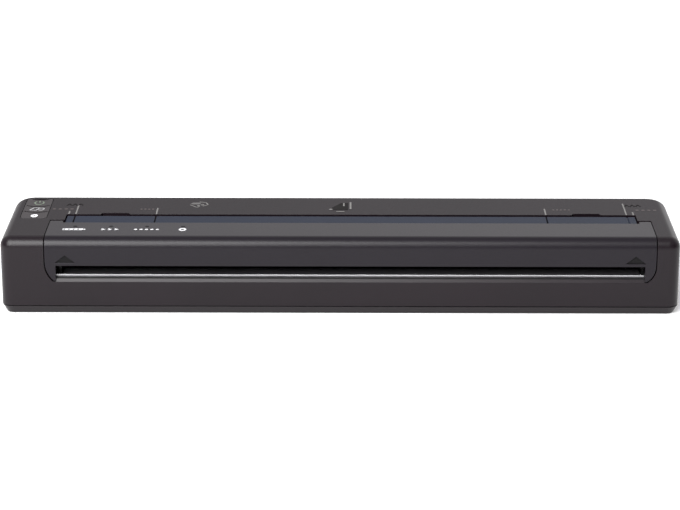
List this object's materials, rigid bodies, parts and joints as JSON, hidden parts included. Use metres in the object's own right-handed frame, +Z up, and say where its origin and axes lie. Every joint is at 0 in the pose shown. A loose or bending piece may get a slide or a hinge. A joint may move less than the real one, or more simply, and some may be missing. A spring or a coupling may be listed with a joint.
{
  "type": "portable thermal printer",
  "caption": "Slim bar-shaped A4 thermal printer with a hinged release cover along its front, a feed slot in the top, an eject slot with a tear bar, and keys at one end.",
  "frame": {"origin": "Middle of the footprint, on the surface that the feet stand on.", "axes": "+X runs along the printer to the right as seen from the front, +Y from the front with its eject slot to the back, +Z up."},
  "size_m": [0.255, 0.055, 0.03],
  "materials": {
    "housing_plastic": "fine grained moulded surface",
    "cover_plastic": "fine grained moulded surface",
    "strip_plastic": "satin moulded surface",
    "key_plastic": "fine grained moulded surface",
    "foot_rubber": "matt rubber",
    "roller_rubber": "ground rubber",
    "sheet_steel": "zinc-plated sheet",
    "coated_steel": "sheet with a dull black coat",
    "shaft_steel": "ground steel",
    "spring_steel": "drawn wire and strip",
    "screw_steel": "plated steel",
    "heatsink_aluminium": "extruded, black anodised",
    "heater_glaze": "glazed ceramic",
    "board_laminate": "coated laminate",
    "chip_resin": "moulded resin",
    "socket_plastic": "moulded, natural",
    "gear_plastic": "moulded, black",
    "guide_plastic": "moulded, smooth",
    "exit_plastic": "moulded, smooth",
    "clear_plastic": "clear, polished",
    "flat_cable": "laminated ribbon",
    "motor_steel": "drawn can",
    "contact_metal": "plated contacts",
    "battery_plastic": "moulded",
    "cell_can": "shrink film over the can",
    "bush_plastic": "oil-filled moulding"
  },
  "bodies": {
    "base": {"upper_housing": "housing_plastic", "lower_housing": "housing_plastic", "rubber_feet": "foot_rubber", "hinge_pins": "shaft_steel", "latch_clips": "coated_steel", "left_side_plate": "coated_steel", "right_side_plate": "coated_steel", "chassis_plate": "sheet_steel", "chassis_screws": "screw_steel", "head_pivot_rod": "shaft_steel", "head_springs": "spring_steel", "cable_socket": "socket_plastic", "rear_paper_guide": "guide_plastic", "exit_guide": "exit_plastic", "tear_bar": "shaft_steel", "paper_sensor": "chip_resin", "reduction_post": "shaft_steel", "motor_can": "motor_steel", "motor_bracket": "sheet_steel", "motor_screws": "screw_steel", "keypad_board": "board_laminate", "key_switches": "chip_resin", "main_board": "board_laminate", "board_components": "chip_resin", "board_screws": "screw_steel", "interface_board": "board_laminate", "usb_socket": "shaft_steel", "power_jack": "chip_resin", "power_jack_pin": "contact_metal", "battery_case": "battery_plastic", "battery_cells": "cell_can", "battery_terminals": "contact_metal", "terminal_block": "socket_plastic", "housing_screws": "screw_steel"},
    "cover": {"release_cover": "cover_plastic", "feed_lip_strip": "strip_plastic", "cover_frame": "coated_steel", "cover_screws": "screw_steel", "latch_studs": "shaft_steel", "indicator_board": "board_laminate", "indicator_light_pipes": "clear_plastic", "platen_bushes": "bush_plastic"},
    "platen": {"platen_shaft": "shaft_steel", "platen_rubber": "roller_rubber", "platen_gear": "gear_plastic"},
    "reduction": {"reduction_gear": "gear_plastic"},
    "motor_rotor": {"motor_shaft": "shaft_steel", "motor_pinion": "gear_plastic"},
    "print_head": {"heatsink": "heatsink_aluminium", "heater_board": "heater_glaze", "head_cable": "flat_cable"},
    "front_key": {"wireless_key": "key_plastic"},
    "middle_key": {"feed_key": "key_plastic"},
    "rear_key": {"power_key": "key_plastic"},
    "sensor_lever": {"paper_sensor_lever": "guide_plastic"},
    "door": {"battery_door": "housing_plastic"}
  },
  "joints": [
    {"name": "cover_hinge", "type": "hinge", "parent": "base", "child": "cover", "pos_m": [0, -0.0024, 0.026], "axis": [-1, 0, 0], "range_deg": [0, 70]},
    {"name": "platen_spin", "type": "hinge", "parent": "cover", "child": "platen", "pos_m": [0, -0.008, 0.0208], "axis": [1, 0, 0], "continuous": true},
    {"name": "reduction_spin", "type": "hinge", "parent": "base", "child": "reduction", "pos_m": [-0.109, -0.00285, 0.01528], "axis": [1, 0, 0], "continuous": true},
    {"name": "motor_spin", "type": "hinge", "parent": "base", "child": "motor_rotor", "pos_m": [-0.115, 0.00898, 0.01298], "axis": [1, 0, 0], "continuous": true},
    {"name": "head_pivot", "type": "hinge", "parent": "base", "child": "print_head", "pos_m": [0, 0.0005, 0.012], "axis": [1, 0, 0], "range_deg": [0, 2.5], "stiffness_Nm_per_rad": 0.3, "springref_deg": -11.46, "deforming": ["head_springs"]},
    {"name": "wireless_key_press", "type": "slide", "parent": "base", "child": "front_key", "axis": [0, 0, -1], "range_m": [0, 0.0005], "stiffness_N_per_m": 300, "springref_m": -0.001},
    {"name": "feed_key_press", "type": "slide", "parent": "base", "child": "middle_key", "axis": [0, 0, -1], "range_m": [0, 0.0005], "stiffness_N_per_m": 300, "springref_m": -0.001},
    {"name": "power_key_press", "type": "slide", "parent": "base", "child": "rear_key", "axis": [0, 0, -1], "range_m": [0, 0.0005], "stiffness_N_per_m": 300, "springref_m": -0.001},
    {"name": "sensor_lever_swing", "type": "hinge", "parent": "base", "child": "sensor_lever", "pos_m": [0.04, 0.0049, 0.0134], "axis": [1, 0, 0], "range_deg": [-14, 0], "stiffness_Nm_per_rad": 0.0005, "springref_deg": 11.46},
    {"name": "battery_door_off", "type": "slide", "parent": "base", "child": "door", "axis": [0, 1, 0], "range_m": [0, 0.03]}
  ],
  "couplings": [
    {"joint": "reduction_spin", "follows": "platen_spin", "ratio": -1.1429},
    {"joint": "motor_spin", "follows": "platen_spin", "ratio": 3.4286}
  ]
}
